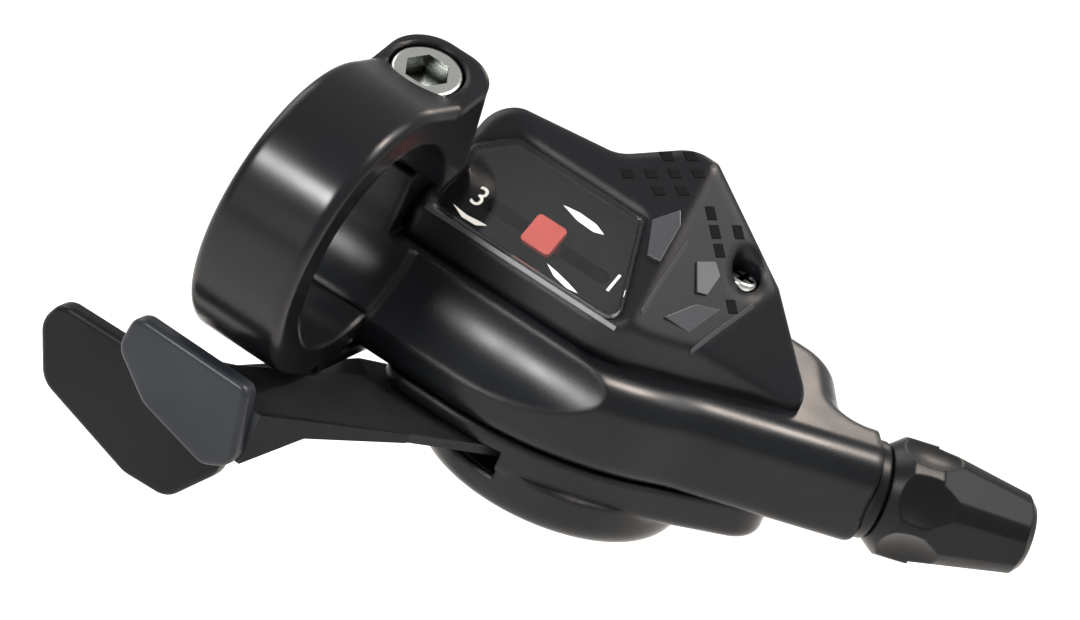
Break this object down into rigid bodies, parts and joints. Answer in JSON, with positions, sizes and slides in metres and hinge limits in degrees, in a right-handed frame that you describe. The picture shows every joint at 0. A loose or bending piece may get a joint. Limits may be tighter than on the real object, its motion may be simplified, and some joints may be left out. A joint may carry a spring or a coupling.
{
  "type": "bicycle trigger gear shifter",
  "caption": "Left-hand trigger gear shifter for a bicycle handlebar: clamp band, ratchet housing with thumb levers, gear indicator window and cable barrel adjuster.",
  "frame": {"origin": "centre of the handlebar bore, in the middle of the clamp band", "axes": "+X along the bar towards the stem, +Y forward, away from the rider, +Z parallel to the lever axle"},
  "size_m": [0.0836, 0.0594, 0.0463],
  "materials": {
    "moulded_band": "smooth moulded, semi-gloss",
    "plated_steel": "zinc plated",
    "body_plastic": "fine satin moulding",
    "clear_lens": "polished clear plastic",
    "dial_black": "matt printed",
    "needle_red": "moulded red",
    "sheet_steel": "stamped",
    "inner_plastic": "moulded",
    "spring_steel": "drawn wire and strip",
    "lever_steel": "black coated stamping",
    "paddle_black": "satin moulded",
    "paddle_grey": "satin moulded",
    "knob_plastic": "smooth moulded"
  },
  "bodies": {
    "housing": {"clamp_band": "moulded_band", "clamp_bolt": "plated_steel", "clamp_nut": "plated_steel", "foot_screw": "plated_steel", "upper_housing": "body_plastic", "lower_cover": "body_plastic", "lower_cover_screws": "plated_steel", "indicator_cover": "body_plastic", "indicator_lens": "clear_lens", "indicator_dial": "dial_black", "indicator_screw": "plated_steel", "base_plate": "sheet_steel", "main_axle": "plated_steel", "axle_washer": "sheet_steel", "axle_nut": "plated_steel", "lever_spacer": "plated_steel", "lever_washer": "sheet_steel", "spool_spring": "spring_steel", "hold_pawl_pin": "plated_steel", "pull_lever_spring": "spring_steel", "release_lever_spring": "spring_steel"},
    "spool": {"cable_spool": "inner_plastic", "ratchet_wheel": "sheet_steel"},
    "pull_lever": {"pull_lever": "lever_steel", "pull_paddle": "paddle_black", "pull_pawl_pin": "plated_steel"},
    "pull_pawl": {"pull_pawl": "sheet_steel"},
    "release_lever": {"release_lever": "lever_steel", "release_paddle": "paddle_grey"},
    "hold_pawl": {"hold_pawl": "sheet_steel"},
    "needle": {"indicator_needle": "needle_red"},
    "adjuster_collar": {"adjuster_collar": "knob_plastic"},
    "adjuster_knob": {"adjuster_knob": "knob_plastic", "adjuster_barrel": "plated_steel"}
  },
  "joints": [
    {"name": "spool_turn", "type": "hinge", "parent": "housing", "child": "spool", "pos_m": [0.025, 0.024, 0], "axis": [0, 0, 1], "range_deg": [-45, 45], "deforming": ["spool_spring"]},
    {"name": "pull_lever_swing", "type": "hinge", "parent": "housing", "child": "pull_lever", "pos_m": [0.025, 0.024, 0], "axis": [0, 0, 1], "range_deg": [-40, 0], "stiffness_Nm_per_rad": 0.2, "springref_deg": 17.19, "deforming": ["pull_lever_spring"]},
    {"name": "pull_pawl_lift", "type": "hinge", "parent": "pull_lever", "child": "pull_pawl", "pos_m": [0.01302, 0.02079, -0.0115], "axis": [0, 0, 1], "range_deg": [0, 6], "stiffness_Nm_per_rad": 0.01, "springref_deg": -11.46},
    {"name": "release_lever_swing", "type": "hinge", "parent": "housing", "child": "release_lever", "pos_m": [0.025, 0.024, 0], "axis": [0, 0, 1], "range_deg": [-6, 0], "stiffness_Nm_per_rad": 0.3, "springref_deg": 17.19, "deforming": ["release_lever_spring"]},
    {"name": "hold_pawl_lift", "type": "hinge", "parent": "housing", "child": "hold_pawl", "pos_m": [0.03761, 0.02622, -0.0115], "axis": [0, 0, 1], "range_deg": [-10, 0]},
    {"name": "needle_slide", "type": "slide", "parent": "housing", "child": "needle", "axis": [1, 0, 0], "range_m": [-0.0066, 0.0066]},
    {"name": "collar_slide", "type": "slide", "parent": "housing", "child": "adjuster_collar", "axis": [0.7997, 0.6004, 0], "range_m": [0, 0.0032]},
    {"name": "knob_turn", "type": "hinge", "parent": "adjuster_collar", "child": "adjuster_knob", "pos_m": [0.04844, 0.03159, -0.00875], "axis": [0.7997, 0.6004, 0], "range_deg": [0, 1440]}
  ],
  "couplings": [
    {"joint": "hold_pawl_lift", "follows": "release_lever_swing", "ratio": 1.6},
    {"joint": "needle_slide", "follows": "spool_turn", "m_per_rad": 0.0084034},
    {"joint": "collar_slide", "follows": "knob_turn", "m_per_rad": 0.00012732}
  ]
}
